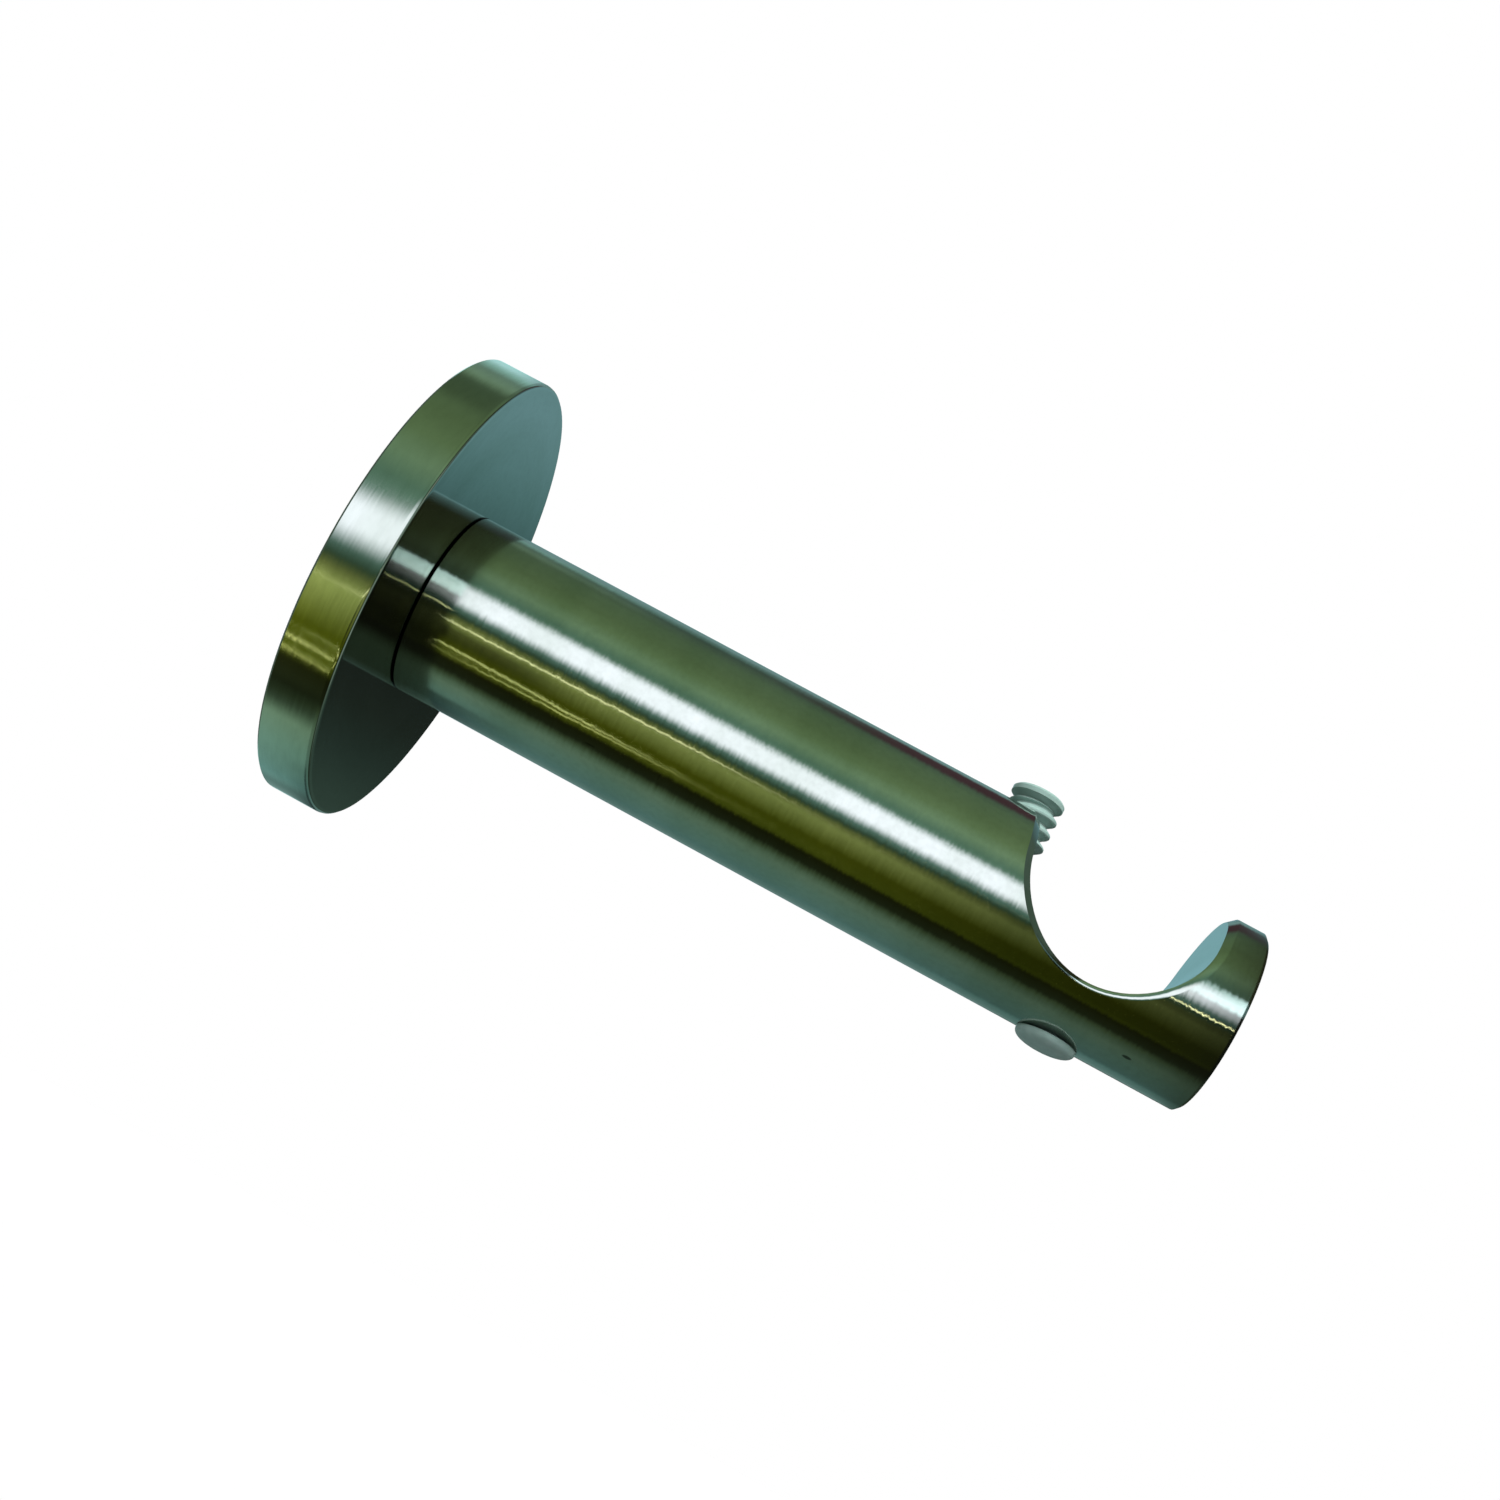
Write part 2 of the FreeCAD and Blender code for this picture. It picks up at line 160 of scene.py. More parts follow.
def satin_nickel():
    material, tree = new_material("satin_nickel_plate")
    along, outwards, turn = around_axis(tree)
    round_it = add(tree, "Math", {"operation": "MULTIPLY"}, _0=turn,
                   _1=GROOVE_SPACING_MM * ARM_RADIUS_MM / STROKE_LENGTH_MM)
    groove_place = add(tree, "CombineXYZ", X=along, Y=outwards, Z=round_it.outputs[0])
    grooves = add(tree, "TexNoise", {"noise_dimensions": "3D"}, Vector=groove_place.outputs[0],
                  Scale=1 / GROOVE_SPACING_MM, Detail=3.0, Roughness=0.6)
    roughness = add(tree, "MapRange", Value=grooves.outputs[0], _1=0.3, _2=0.7, _3=SMOOTHEST, _4=ROUGHEST)
    cloud_place = add(tree, "CombineXYZ", X=along, Y=outwards, Z=turn)
    clouds = add(tree, "TexNoise", {"noise_dimensions": "3D"}, Vector=cloud_place.outputs[0], Scale=0.12, Detail=3.0)
    colour = ramp(tree, clouds.outputs[0], [(0.3, "#C3C9BD"), (0.7, "#D6D9D1")])
    place = add(tree, "TexCoord")
    round_mm = add(tree, "Math", {"operation": "MULTIPLY"}, _0=turn, _1=ARM_RADIUS_MM)
    spot_place = add(tree, "CombineXYZ", X=along, Y=outwards, Z=round_mm.outputs[0])
    spots = add(tree, "TexNoise", {"noise_dimensions": "3D"}, Vector=spot_place.outputs[0],
                Scale=1 / SPOT_SIZE_MM, Detail=3.0)
    dull = add(tree, "MapRange", Value=spots.outputs[0], _1=0.4, _2=0.7, _3=0.0, _4=SPOT_STRENGTH)
    shade = mixed(tree, dull.outputs[0], colour.outputs[0], linear(SPOT_SHADE))
    # The last mark is painted shade: it darkens the arm in the gap under the plug's head
    for mark, size, strength in WEAR_AND_SHADOW_MARKS:
        away = add(tree, "VectorMath", {"operation": "SUBTRACT"}, _0=place.outputs["Object"],
                   _1=[v / 1000 for v in mark])
        scaled = add(tree, "VectorMath", {"operation": "DIVIDE"}, _0=away.outputs[0], _1=[v / 1000 for v in size])
        far = add(tree, "VectorMath", {"operation": "LENGTH"}, _0=scaled.outputs[0])
        share = add(tree, "MapRange", {"interpolation_type": "SMOOTHSTEP"}, Value=far.outputs["Value"],
                    _1=1.0, _2=0.6, _3=0.0, _4=strength)
        shade = mixed(tree, share.outputs[0], shade, linear(WEAR_AND_SHADOW_DARK))

    # Painted shade darkens the seam between the arm and the rose
    seam_along = step_up(tree, along, *SEAM_ALONG_MM)
    seam_out = step_up(tree, outwards, *SEAM_OUT_MM)
    shade = mixed(tree, product(tree, seam_along, seam_out), shade, linear(SEAM_PAINTED_SHADE))

    # The grooves' walls lean round the axis, and not on a flat face that the lathe has faced smooth
    facing = add(tree, "NewGeometry")
    normal = facing.outputs["Normal"]
    flatness = add(tree, "SeparateXYZ", Vector=normal)
    square = add(tree, "Math", {"operation": "MULTIPLY"}, _0=flatness.outputs["X"], _1=flatness.outputs["X"])
    sideways = add(tree, "VectorMath", {"operation": "CROSS_PRODUCT"}, _0=(1.0, 0.0, 0.0), _1=normal)
    lean = add(tree, "MapRange", {"clamp": False}, Value=grooves.outputs[0],
               _1=0.0, _2=1.0, _3=-GROOVE_TILT, _4=GROOVE_TILT)
    kept = add(tree, "MapRange", Value=square.outputs[0], _1=0.0, _2=1.0, _3=1.0, _4=0.05)
    shallow = add(tree, "Math", {"operation": "DIVIDE"}, _0=ARM_RADIUS_MM, _1=outwards)
    shallower = add(tree, "Math", {"operation": "MULTIPLY"}, _0=shallow.outputs[0], _1=kept.outputs[0])
    amount = add(tree, "Math", {"operation": "MULTIPLY"}, _0=lean.outputs[0], _1=shallower.outputs[0])
    push = add(tree, "VectorMath", {"operation": "SCALE"}, _0=sideways.outputs[0], Scale=amount.outputs[0])
    leaning = add(tree, "VectorMath", {"operation": "ADD"}, _0=normal, _1=push.outputs[0])
    groove_normal = add(tree, "VectorMath", {"operation": "NORMALIZE"}, _0=leaning.outputs[0])
    tangent = add(tree, "Tangent", {"direction_type": "RADIAL", "axis": "X"})
    faced = add(tree, "MapRange", Value=square.outputs[0], _1=0.5, _2=1.0, _3=1.0, _4=0.7)
    rough = add(tree, "Math", {"operation": "MULTIPLY"}, _0=roughness.outputs[0], _1=faced.outputs[0])
    metal = add(tree, "BsdfPrincipled", Base_Color=shade, Metallic=1.0,
                Roughness=rough.outputs[0], Anisotropic=0.75, Anisotropic_Rotation=0.25,
                Tangent=tangent.outputs[0], Normal=groove_normal.outputs[0])
    finish_with(tree, metal.outputs[0])
    return material


# Zinc plate: passivated zinc on pressed and turned steel, dull and slightly blue, with faint turning rings.
def zinc_plate():
    material, tree = new_material("zinc_plated_steel")
    along, outwards, turn = around_axis(tree)
    place = add(tree, "CombineXYZ", X=along, Y=outwards, Z=turn)
    rings = add(tree, "TexNoise", {"noise_dimensions": "3D"}, Vector=place.outputs[0], Scale=2.5, Detail=2.0)
    colour = ramp(tree, rings.outputs[0], [(0.3, "#A9B0B5"), (0.7, "#BCC2C5")])
    roughness = add(tree, "MapRange", Value=rings.outputs[0], _1=0.3, _2=0.7, _3=0.35, _4=0.5)
    bump = add(tree, "Bump", Strength=0.1, Distance=0.00003, Height=rings.outputs[0])
    metal = add(tree, "BsdfPrincipled", Base_Color=colour.outputs[0], Metallic=1.0,
                Roughness=roughness.outputs[0], Normal=bump.outputs[0])
    finish_with(tree, metal.outputs[0])
    return material


# Natural nylon: injection moulded and left uncoloured. It lets a little light through, so thin crests look
# paler than the core, and its skin has a soft sheen.
def natural_nylon(name, darker, lighter):
    material, tree = new_material(name)
    place = add(tree, "TexCoord")
    mottle = add(tree, "TexNoise", {"noise_dimensions": "3D"}, Vector=place.outputs["Object"],
                 Scale=900.0, Detail=2.0)
    colour = ramp(tree, mottle.outputs[0], [(0.3, darker), (0.7, lighter)])
    bump = add(tree, "Bump", Strength=0.1, Distance=0.00002, Height=mottle.outputs[0])
    skin = add(tree, "BsdfPrincipled", Base_Color=colour.outputs[0], Roughness=0.38, IOR=1.53,
               Subsurface_Weight=0.2, Subsurface_Radius=(0.5, 0.6, 0.55), Subsurface_Scale=0.002,
               Normal=bump.outputs[0])
    finish_with(tree, skin.outputs[0])
    return material


# Frame nodes whose shape is right take their finish
NICKEL_PLATE = satin_nickel()
ZINC_PLATE = zinc_plate()
NYLON = natural_nylon("natural_nylon", "#A8CAC3", "#B6D6CF")
# The screw is darker than the plug. Its colour is matched, and it is painted shade: the same nylon as the plug, made
# darker to take back the stronger light that the screw gets here. Its colour is matched by eye and the cause isn't
# known: metal rubbed off the hole is one guess, and the same nylon in other light is another.
SHADED_NYLON = natural_nylon("shaded_nylon", "#83A098", "#8EA9A2")
for node, finish in {
    "wall_plate": ZINC_PLATE,
    "centre_stud": ZINC_PLATE,
    "pole_lock_screw": SHADED_NYLON,
}.items():
    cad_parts[node].material_slots[0].material = finish


def finished(mesh, node, material, body):
    """Piece of that mesh, which takes the place of a frame node."""
    piece = bpy.data.objects.new(mesh.name, mesh)
    bpy.context.scene.collection.objects.link(piece)
    mesh.materials.clear()
    mesh.materials.append(material)
    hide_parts(node)
    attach(piece, body)
    return piece


def polished_copy(node, name, surfaces):
    """Copy of a frame node with its triangles joined and exact normals. surfaces lists pairs: a function that
    gives a vertex's normal on one surface of the piece, or None where it doesn't lie there, and the widest
    angle in degrees to the triangle's own normal. A triangle takes the first surface that all its corners lie
    on within that angle, and else keeps its flat normal."""
    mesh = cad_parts[node].data.copy()
    mesh.name = name
    normals = [corner.vector.copy() for corner in mesh.corner_normals]
    for polygon in mesh.polygons:
        places = [mesh.vertices[v].co.copy() for v in polygon.vertices]
        whole = None
        for surface, widest in surfaces:
            found = [surface(place) for place in places]
            if all(found) and all(n.angle(polygon.normal) < math.radians(widest) for n in found):
                whole = found
                break
        if whole is None:
            continue
        for loop, normal in zip(polygon.loop_indices, whole):
            normals[loop] = normal
    stored = mesh.attributes.new("kept_normal", "FLOAT_VECTOR", "CORNER")
    for loop, normal in enumerate(normals):
        stored.data[loop].vector = normal
    shape = bmesh.new()
    shape.from_mesh(mesh)
    bmesh.ops.remove_doubles(shape, verts=shape.verts, dist=JOIN_WITHIN)
    shape.to_mesh(mesh)
    shape.free()
    stored = mesh.attributes["kept_normal"]
    normals = [tuple(item.vector) for item in stored.data]
    mesh.attributes.remove(stored)
    mesh.normals_split_custom_set(normals)
    return mesh


# How near to a surface a vertex counts as lying on it, and the same for a bevel beside it
ON_SURFACE = 3e-6
NEAR_SURFACE = 3e-5
JOIN_WITHIN = 1e-7


def on_cylinder(radius):
    """Normals of a cylinder round X."""
    def normal(place):
        out = Vector((0, place.y, place.z))
        return out.normalized() if abs(out.length - radius) < ON_SURFACE else None
    return normal


# The rose's front edge is an arc round its rim, and the seat is an arc with two leaning walls
ROSE_FACE = 0.0075
ROSE_FRONT_ROUND = 0.0007
# How strongly the round keeps to the rim's and the face's own directions, so that it looks narrow and crisp
ROSE_EDGE_EVENNESS = 0.48
SEAT_X = 0.1016
SEAT_Z = 0.00655
SEAT_RADIUS = 0.0127
SEAT_FLARE = math.radians(6.5)
SEAT_EDGE = 0.0015
# How far the seat's edge turns from the arm's surface towards the seat's: along its outer and its inner line
# at the bottom of the seat, and how much that changes up the two walls
OUTER_TURN = 0.2
OUTER_CHANGE = 0.25
INNER_TURN = 0.5
INNER_CHANGE = 0.3
ARM_END = 0.12
END_EDGE = 0.001
END_EDGE_TURN = 0.2


def on_rose_edge(place):
    """The rounded front edge of the rose."""
    out = Vector((0, place.y, place.z))
    across = out.length - (ROSE_RADIUS - ROSE_FRONT_ROUND)
    forward = place.x - (ROSE_FACE - ROSE_FRONT_ROUND)
    if min(across, forward) < -ON_SURFACE or abs(math.hypot(across, forward) - ROSE_FRONT_ROUND) > ON_SURFACE:
        return None
    turn = math.atan2(forward, across)
    turn -= ROSE_EDGE_EVENNESS * math.sin(4 * turn)
    return out.normalized() * math.cos(turn) + Vector((math.sin(turn), 0, 0))


def seat_normal(place):
    """Normal of the seat's surface nearest to the place, and how deep the place lies behind it in the metal."""
    across = place.x - SEAT_X
    up = place.z - SEAT_Z
    if up < -SEAT_RADIUS * math.sin(SEAT_FLARE):
        normal = Vector((-across, 0, -up)).normalized()
    else:
        side = 1 if across > 0 else -1
        normal = Vector((-side * math.cos(SEAT_FLARE), 0, math.sin(SEAT_FLARE)))
    return normal, -Vector((across, 0, up)).dot(normal) - SEAT_RADIUS


def on_seat(place):
    """The bottom and the walls of the seat."""
    normal, depth = seat_normal(place)
    return normal if abs(depth) < ON_SURFACE else None


def on_seat_edge(place):
    """The seat's bevelled edge, brushed round. On the side of the rose it faces like a flat bevel. Round the
    bottom it turns from the arm's surface towards the seat's, so that the lamp shows as a thin line along its
    outer half. Up the other side it turns less."""
    out = Vector((0, place.y, place.z))
    normal, from_seat = seat_normal(place)
    from_arm = ARM_RADIUS - out.length
    if min(from_arm, from_seat) < -NEAR_SURFACE or max(from_arm, from_seat) > SEAT_EDGE:
        return None
    inner = min(max(from_arm / max(from_arm + from_seat, ON_SURFACE), 0), 1)
    sideways = math.copysign(normal.x ** 2, normal.x)
    outer_turn = max(OUTER_TURN + OUTER_CHANGE * sideways, 0.0)
    inner_turn = INNER_TURN + INNER_CHANGE * min(sideways, 0.0)
    turned = outer_turn + inner * (inner_turn - outer_turn)
    return out.normalized().lerp(normal, max(turned, 0)).normalized()


def on_end_edge(place):
    """The small bevel at the arm's free end, which turns a little towards the end."""
    out = Vector((0, place.y, place.z))
    if place.x < ARM_END - END_EDGE or out.length < ARM_RADIUS - END_EDGE:
        return None
    forward = END_EDGE_TURN if place.x > ARM_END - ON_SURFACE else 0
    return (out.normalized() + Vector((forward, 0, 0))).normalized()


finished(polished_copy("arm", "brushed_arm",
                       [(on_cylinder(ARM_RADIUS), 30), (on_seat, 30), (on_seat_edge, 72), (on_end_edge, 72)]),
         "arm", NICKEL_PLATE, "bracket")
finished(polished_copy("rose", "brushed_rose", [(on_cylinder(ROSE_RADIUS), 30), (on_rose_edge, 60)]),
         "rose", NICKEL_PLATE, "bracket")

# The seat's plug: a moulded button with a crown that flows into its edge, on a plain stem
PLUG_RADIUS = 0.00405
PLUG_HEIGHT = 0.00143
PLUG_STEM_RADIUS = 0.0025
PLUG_TOP = -0.009
PLUG_UNDER_ARM = -0.01253
PLUG_STEPS = 20
PLUG_FULLNESS = 2 / 3
PLUG_TURN_STEPS = 96


def button_plug():
    """The plug's outline, spun round its own axis."""
    outline = [(0, PLUG_TOP), (PLUG_STEM_RADIUS, PLUG_TOP), (PLUG_STEM_RADIUS, PLUG_UNDER_ARM)]
    for step in range(PLUG_STEPS + 1):
        turn = math.pi / 2 * step / PLUG_STEPS
        outline.append((PLUG_RADIUS * max(math.cos(turn), 0) ** PLUG_FULLNESS if step < PLUG_STEPS else 0,
                        PLUG_UNDER_ARM - PLUG_HEIGHT * math.sin(turn) ** PLUG_FULLNESS))
    shape = bmesh.new()
    corners = [shape.verts.new((SEAT_X + radius, 0, z)) for radius, z in outline]
    edges = [shape.edges.new(pair) for pair in zip(corners, corners[1:])]
    bmesh.ops.spin(shape, geom=corners + edges, cent=(SEAT_X, 0, 0), axis=(0, 0, 1), angle=2 * math.pi,
                   steps=PLUG_TURN_STEPS, use_merge=True)
    bmesh.ops.remove_doubles(shape, verts=shape.verts, dist=JOIN_WITHIN)
    bmesh.ops.recalc_face_normals(shape, faces=shape.faces)
    for face in shape.faces:
        face.smooth = face.calc_center_median().z < PLUG_UNDER_ARM
    mesh = bpy.data.meshes.new("button_plug")
    shape.to_mesh(mesh)
    shape.free()
    return mesh


finished(button_plug(), "seat_plug", NYLON, "bracket")


# Studio. The bracket hangs inside a wide tube of cloth whose axis is the arm's. Its panels and lamps are
# what the metal mirrors. The camera sees only the white room and floor.
TENT_RADIUS = 3.0
TENT_LENGTH = 24.0


def only_mirrored(piece):
    """Stage object that shows in reflections and nowhere else."""
    piece.visible_camera = False
    piece.visible_diffuse = False
    piece.visible_shadow = False
    piece.visible_transmission = False
    piece.visible_volume_scatter = False


# Panels round the tube: degrees from the camera's side of the arm, turning upwards, and colour
PANELS = [
    (-180, "#6E8B88"),
    (-165, "#5F807C"),
    (-150, "#567B77"),
    (-120, "#5D7E71"),
    (-104, "#627D69"),
    (-97, "#566E58"),
    (-90, "#3C4C34"),
    (-85, "#1F2616"),
    (-72, "#1A1D0A"),
    (-67, "#464F12"),
    (-52, "#474E0E"),
    (-46, "#5F6828"),
    (-30, "#8A9654"),
    (-24, "#6B7540"),
    (-19, "#344A36"),
    (-12, "#5C7F74"),
    (16, "#6E9484"),
    (25, "#628672"),
    (38, "#7B9B79"),
    (52, "#6C875F"),
    (68, "#607853"),
    (95, "#597155"),
    (108, "#4F6453"),
    (118, "#465A50"),
    (127, "#5C7C76"),
    (138, "#78999A"),
    (150, "#6E928F"),
    (159, "#82B1B9"),
    (167, "#82B3BD"),
    (176, "#5E7C79"),
]
# The same for the far end of the tube, which the rose's face mirrors
FAR_PANELS = [
    (-180, "#3A4C46"),
    (-150, "#2B372B"),
    (-100, "#2B372B"),
    (-80, "#141610"),
    (0, "#141610"),
    (6, "#587676"),
    (15, "#587676"),
    (21, "#2B2E1F"),
    (105, "#2B2E1F"),
    (140, "#5C7C80"),
    (152, "#76A0A8"),
    (158, "#6E969C"),
    (160, "#598183"),
    (162, "#456668"),
    (165.5, "#243030"),
    (168, "#1D211B"),
    (170, "#283530"),
    (173, "#3C5048"),
]
# The part of it that only the arm's foot mirrors, by way of the rose's face
CLOSE_LAMP = (1.8, 2.4, 2.6, 1.0)
FAR_FROM = 0.68
FAR_TO = 0.72


def around(tree, turn, panels):
    """The colours of the panels round the tube."""
    share = add(tree, "MapRange", Value=turn, _1=-180.0, _2=180.0, _3=0.0, _4=1.0)
    return ramp(tree, share.outputs[0], [((degrees + 180) / 360, shade) for degrees, shade in panels])


def level(tree, place, points, low, high):
    """Height that changes along the tube, from (metres, height) points."""
    first, last = points[0][0], points[-1][0]
    share = add(tree, "MapRange", Value=place, _1=first, _2=last, _3=0.0, _4=1.0)
    greys = add(tree, "ValToRGB", _0=share.outputs[0])
    elements = greys.color_ramp.elements
    for index, (metres, height) in enumerate(points):
        at = (metres - first) / (last - first)
        element = elements[index] if index < 2 else elements.new(at)
        element.position = at
    for element, (metres, height) in zip(sorted(elements, key=lambda e: e.position), points):
        grey = (height - low) / (high - low)
        element.color = (grey, grey, grey, 1.0)
    return add(tree, "MapRange", Value=greys.outputs[0], _1=0.0, _2=1.0, _3=low, _4=high).outputs[0]


# Long lamp in front of the arm: its upper and lower edge in degrees, at places along the tube in metres
LAMP_TOP = [(-1.0, 10), (-0.85, 12), (-0.74, 16), (-0.5, 17), (-0.2, 16), (0.35, 16), (0.68, 13)]
LAMP_BOTTOM = [(-1.0, -9), (-0.80, -8), (-0.64, -7), (-0.40, -8), (0.0, -7), (0.6, -6)]
LAMP_SOFTNESS = 6.0
# The lamp's edges stay within this many degrees
LAMP_REACH = 40
LAMP_COLOUR = (1.42, 1.5, 1.68, 1.0)
# Only the rose's rim mirrors the tube behind this place, in metres
RIM_FROM = -0.80
# Brown cloth above and behind, and the plain ends of the tube
BROWN_CLOTH = (0.064, 0.036, 0.042, 1.0)
OPEN_END = "#4E6056"
FRONT_END = "#93A49A"
# Parts of the tube that are lit more or less: from and to in metres, the band in degrees, and how much
SHADE_SOFTNESS = 6
SHADES = [
    ((-0.76, -0.84), (-186, -27), 1.8),
    ((-0.76, -0.84), (80, 100), 0.65),
    ((-0.76, -0.84), (104, 186), 2.6),
    ((-0.10, 0.50), (-70, -20), 0.32),
    ((-0.10, 0.50), (-150, -92), 0.62),
    ((-0.54, -0.72), (-186, -128), 0.22),
    ((-0.55, -0.76), (22, 100), 0.72),
    ((-0.35, -0.60), (106, 132), 1.7),
    ((-0.50, -0.62), (-51, -33), 0.06),
    ((-0.76, -0.84), (-186, -158), 0.65),
    ((-0.76, -0.84), (-99, -84), 0.3),
]
# Thin warm tubes: (metres, degrees) at both ends, half their width in degrees, and brightness
WARM_TUBES = [
    ((-0.80, -30.0), (-0.20, -25.2), 0.36, (4.4, 4.4, 2.5, 1.0)),
    ((-0.80, -55.5), (-0.38, -60.2), 0.36, (3.8, 4.0, 1.5, 1.0)),
    ((-0.64, -65.5), (-0.32, -61.8), 0.36, (2.6, 2.7, 0.9, 1.0)),
    ((0.64, -15.5), (0.76, -16.5), 0.55, (9.0, 8.6, 4.6, 1.0)),
    ((-1.05, -60.5), (-0.84, -63.0), 0.4, (3.0, 3.1, 1.1, 1.0)),
    ((-1.05, -66.0), (-0.84, -69.5), 0.4, (2.4, 2.5, 0.8, 1.0)),
]


def light_tent():
    """The tube of cloth. Degrees go round it from the camera's side upwards, metres along it from the wall."""
    mesh = bpy.data.meshes.new("light_tent")
    shape = bmesh.new()
    turn_to_x = Matrix.Rotation(math.radians(90), 4, "Y")
    bmesh.ops.create_cone(shape, cap_ends=True, segments=180, radius1=TENT_RADIUS, radius2=TENT_RADIUS,
                          depth=TENT_LENGTH, matrix=turn_to_x)
    shape.to_mesh(mesh)
    shape.free()
    tent = bpy.data.objects.new("light_tent", mesh)
    bpy.context.scene.collection.objects.link(tent)
    material, tree = new_material("tent_cloth")
    place = add(tree, "TexCoord")
    split = add(tree, "SeparateXYZ", Vector=place.outputs["Object"])
    towards = add(tree, "Math", {"operation": "MULTIPLY"}, _0=split.outputs["Y"], _1=-1.0)
    radians = add(tree, "Math", {"operation": "ARCTAN2"}, _0=split.outputs["Z"], _1=towards.outputs[0])
    turn = add(tree, "Math", {"operation": "DEGREES"}, _0=radians.outputs[0]).outputs[0]
    along = split.outputs["X"]
    near = around(tree, turn, PANELS).outputs[0]
    far = around(tree, turn, FAR_PANELS).outputs[0]
    above = minus(tree, turn, level(tree, along, LAMP_BOTTOM, -LAMP_REACH, LAMP_REACH))
    below = minus(tree, level(tree, along, LAMP_TOP, -LAMP_REACH, LAMP_REACH), turn)
    lit = product(tree, step_up(tree, above, -LAMP_SOFTNESS, LAMP_SOFTNESS),
                  step_up(tree, below, -LAMP_SOFTNESS, LAMP_SOFTNESS))
    colour = mixed(tree, lit, near, LAMP_COLOUR)
    brown = product(tree, step_up(tree, turn, 104, 116), step_up(tree, turn, 140, 128))
    brown = product(tree, brown, step_up(tree, along, -0.25, 0.05))
    colour = mixed(tree, brown, colour, BROWN_CLOTH)
    for (x0, x1), (turn0, turn1), gain in SHADES:
        band = product(tree, step_up(tree, turn, turn0 - SHADE_SOFTNESS, turn0 + SHADE_SOFTNESS),
                       step_up(tree, turn, turn1 + SHADE_SOFTNESS, turn1 - SHADE_SOFTNESS))
        share = product(tree, band, step_up(tree, along, x0, x1))
        if 0 > x1 > RIM_FROM:
            share = product(tree, share, step_up(tree, along, RIM_FROM - 0.04, RIM_FROM + 0.02))
        scaled = add(tree, "VectorMath", {"operation": "SCALE"}, _0=colour, Scale=gain)
        colour = mixed(tree, share, colour, scaled.outputs[0])
    close = product(tree, step_up(tree, turn, -1, 5), step_up(tree, turn, 22, 16))
    close = product(tree, close, step_up(tree, along, 0.86, 0.82))
    far = mixed(tree, close, far, CLOSE_LAMP)
    behind = product(tree, step_up(tree, along, 0.3, 0.45), step_up(tree, turn, 150, 156))
    beyond = add(tree, "Math", {"operation": "MAXIMUM"}, _0=behind, _1=step_up(tree, along, FAR_FROM, FAR_TO))
    colour = mixed(tree, beyond.outputs[0], colour, far)
    for (x0, turn0), (x1, turn1), half, shade in WARM_TUBES:
        centre = add(tree, "MapRange", {"clamp": False}, Value=along, _1=x0, _2=x1, _3=turn0, _4=turn1)
        off = add(tree, "Math", {"operation": "ABSOLUTE"}, _0=minus(tree, turn, centre.outputs[0]))
        ends = product(tree, step_up(tree, along, x0 - 0.05, x0 + 0.05), step_up(tree, along, x1 + 0.03, x1 - 0.05))
        colour = mixed(tree, product(tree, step_up(tree, off.outputs[0], half, half * 0.3), ends), colour, shade)
    ends = add(tree, "Math", {"operation": "MAXIMUM"}, _0=step_up(tree, along, 1.8, 2.6),
               _1=step_up(tree, along, -1.4, -1.9))
    colour = mixed(tree, ends.outputs[0], colour, linear(OPEN_END))
    colour = mixed(tree, step_up(tree, along, 4.0, 6.0), colour, linear(FRONT_END))
    light = add(tree, "Emission", Color=colour, Strength=1.0)
    finish_with(tree, light.outputs[0])
    mesh.materials.append(material)
    only_mirrored(tent)


light_tent()


EVEN_LIGHT = 0.85


def white_room():
    """World that is white to the camera and in mirrors, and an even light on everything else."""
    world = bpy.data.worlds.new("white_room")
    bpy.context.scene.world = world
    world.use_nodes = True
    tree = world.node_tree
    tree.nodes.clear()
    seen = add(tree, "LightPath")
    either = add(tree, "Math", {"operation": "MAXIMUM"}, _0=seen.outputs["Is Camera Ray"],
                 _1=seen.outputs["Is Glossy Ray"])
    any_of = add(tree, "Math", {"operation": "MAXIMUM"}, _0=either.outputs[0],
                 _1=seen.outputs["Is Transmission Ray"])
    strength = add(tree, "MapRange", Value=any_of.outputs[0], _1=0.0, _2=1.0, _3=EVEN_LIGHT, _4=1.0)
    light = add(tree, "Background", Color=linear("#FFFFFF"), Strength=strength.outputs[0])
    add(tree, "OutputWorld", Surface=light.outputs[0])


FLOOR_RADIUS = 6.0
FLOOR_DEPTH = -0.3
FLOOR_GLOW = 0.79


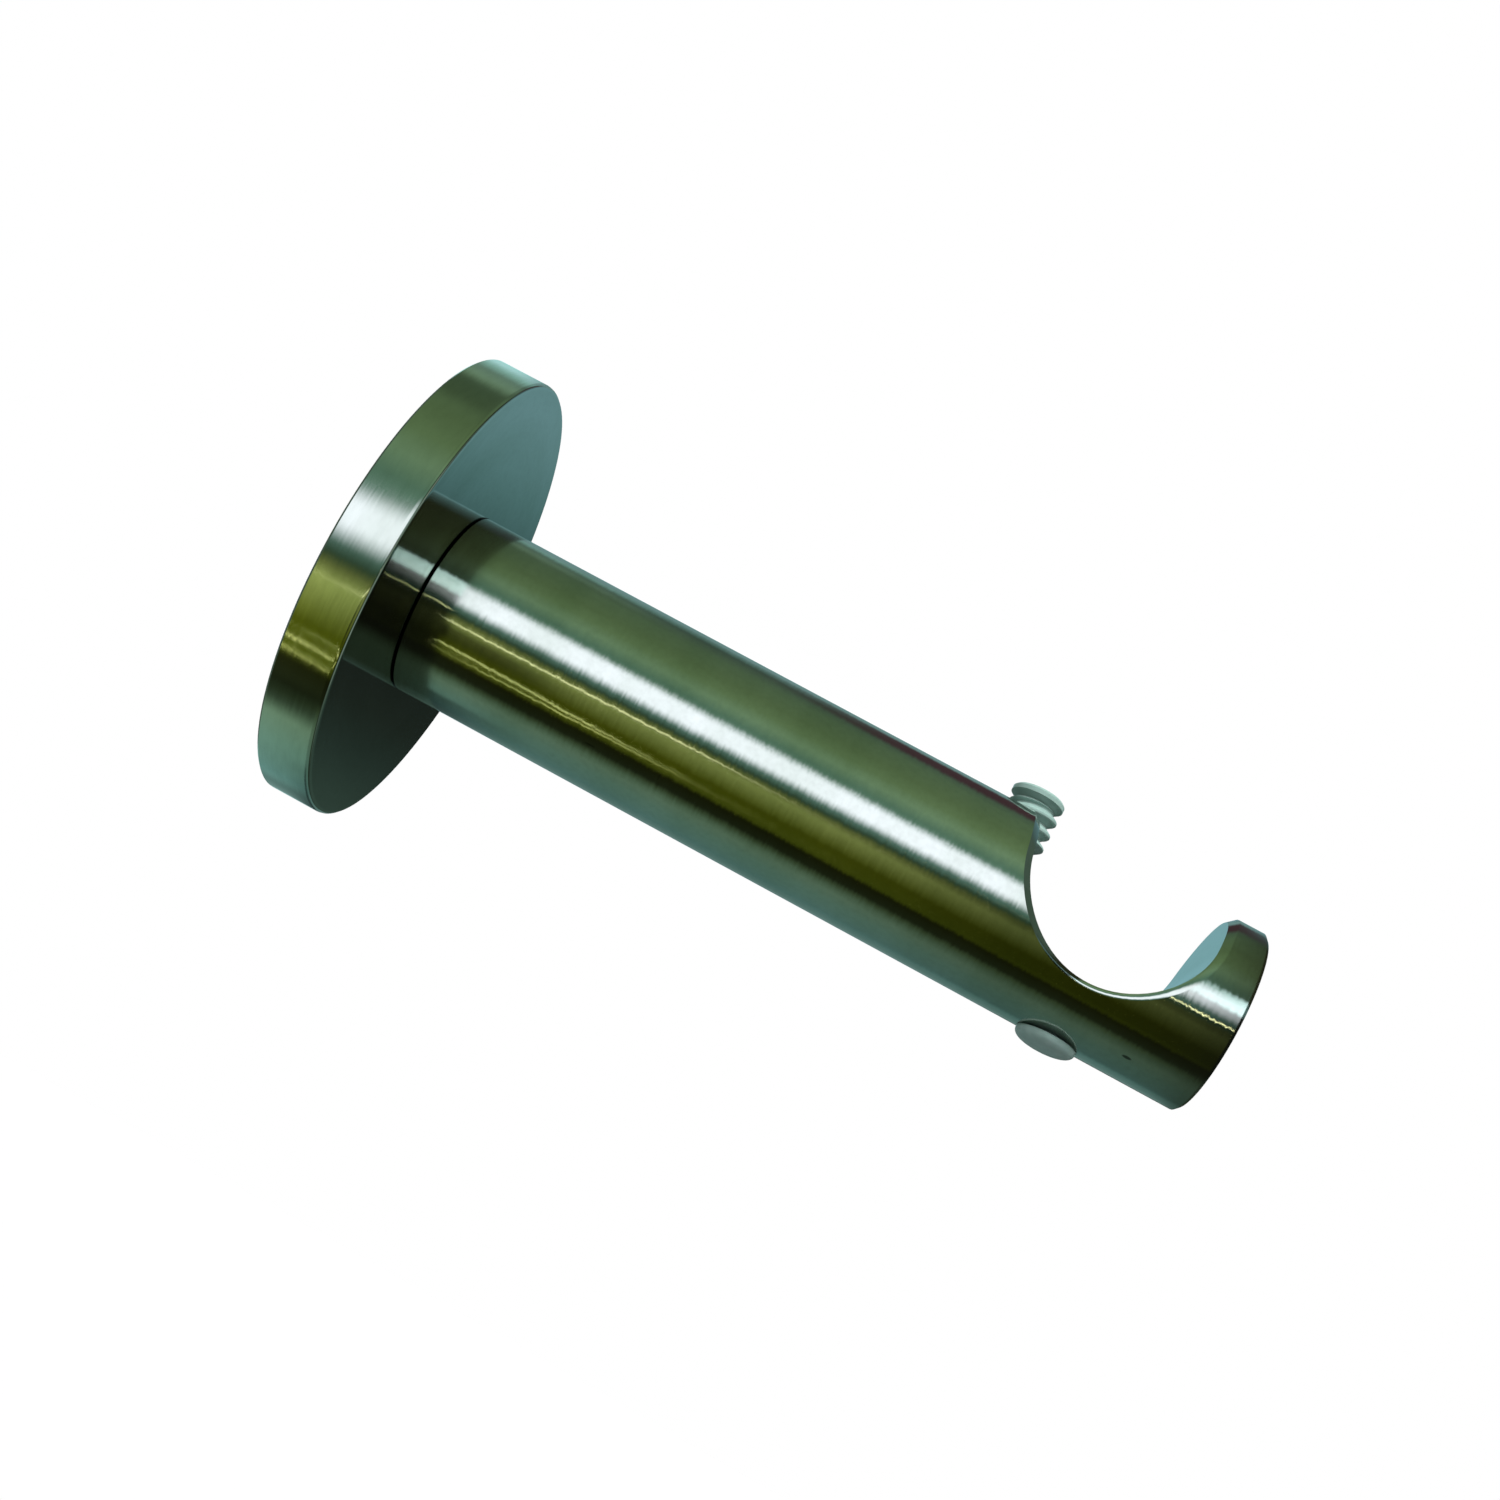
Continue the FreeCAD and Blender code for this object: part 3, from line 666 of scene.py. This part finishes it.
def pale_floor():
    """Floor that takes the shadow and looks white to the camera, though it sends up only a grey light."""
    mesh = bpy.data.meshes.new("floor")
    shape = bmesh.new()
    bmesh.ops.create_circle(shape, cap_ends=True, segments=96, radius=FLOOR_RADIUS,
                            matrix=Matrix.Translation((0, 0, FLOOR_DEPTH)))
    shape.to_mesh(mesh)
    shape.free()
    floor = bpy.data.objects.new("floor", mesh)
    bpy.context.scene.collection.objects.link(floor)
    material, tree = new_material("pale_floor")
    seen = add(tree, "LightPath")
    paper = add(tree, "BsdfDiffuse", Color=linear("#606060"))
    glow = add(tree, "Emission", Color=linear("#FFFFFF"), Strength=FLOOR_GLOW)
    nothing = add(tree, "Emission", Strength=0.0)
    extra = add(tree, "MixShader", _0=seen.outputs["Is Camera Ray"], _1=nothing.outputs[0], _2=glow.outputs[0])
    both = add(tree, "AddShader", _0=paper.outputs[0], _1=extra.outputs[0])
    finish_with(tree, both.outputs[0])
    mesh.materials.append(material)
    floor.visible_glossy = False


def soft_sun(name, direction, strength, softness):
    """Even light from one direction, with soft shadows, which the metal doesn't mirror."""
    light = bpy.data.lights.new(name, "SUN")
    light.energy = strength
    light.angle = math.radians(softness)
    holder = bpy.data.objects.new(name, light)
    holder.rotation_euler = Vector(direction).to_track_quat("-Z", "Y").to_euler()
    holder.visible_glossy = False
    bpy.context.scene.collection.objects.link(holder)


white_room()
pale_floor()
soft_sun("soft_key", (-0.2, 0.6, -0.77), 4.0, 30)

# Camera at the photograph's place: below the arm, looking up, and rolled
CAMERA_PLACE = (0.07110, -0.23824, -0.06606)
CAMERA_RIGHT = (0.87772822, -0.06457465, 0.47478762)
CAMERA_DOWN = (0.4727368, 0.27838847, -0.83607403)
CAMERA_FORWARD = (-0.07818621, 0.95829535, 0.27487623)
camera_data = bpy.data.cameras.new("camera")
SENSOR_MM = 36
FOCAL_LENGTH_PX = 1934.39
PHOTO_WIDTH_PX = 1500
camera_data.sensor_width = SENSOR_MM
camera_data.lens = SENSOR_MM * FOCAL_LENGTH_PX / PHOTO_WIDTH_PX
camera = bpy.data.objects.new("camera", camera_data)
camera_turn = Matrix((CAMERA_RIGHT, [-v for v in CAMERA_DOWN], [-v for v in CAMERA_FORWARD])).transposed()
camera.matrix_world = Matrix.Translation(CAMERA_PLACE) @ camera_turn.to_4x4()
bpy.context.scene.collection.objects.link(camera)
bpy.context.scene.camera = camera
bpy.context.scene.view_settings.view_transform = "Standard"
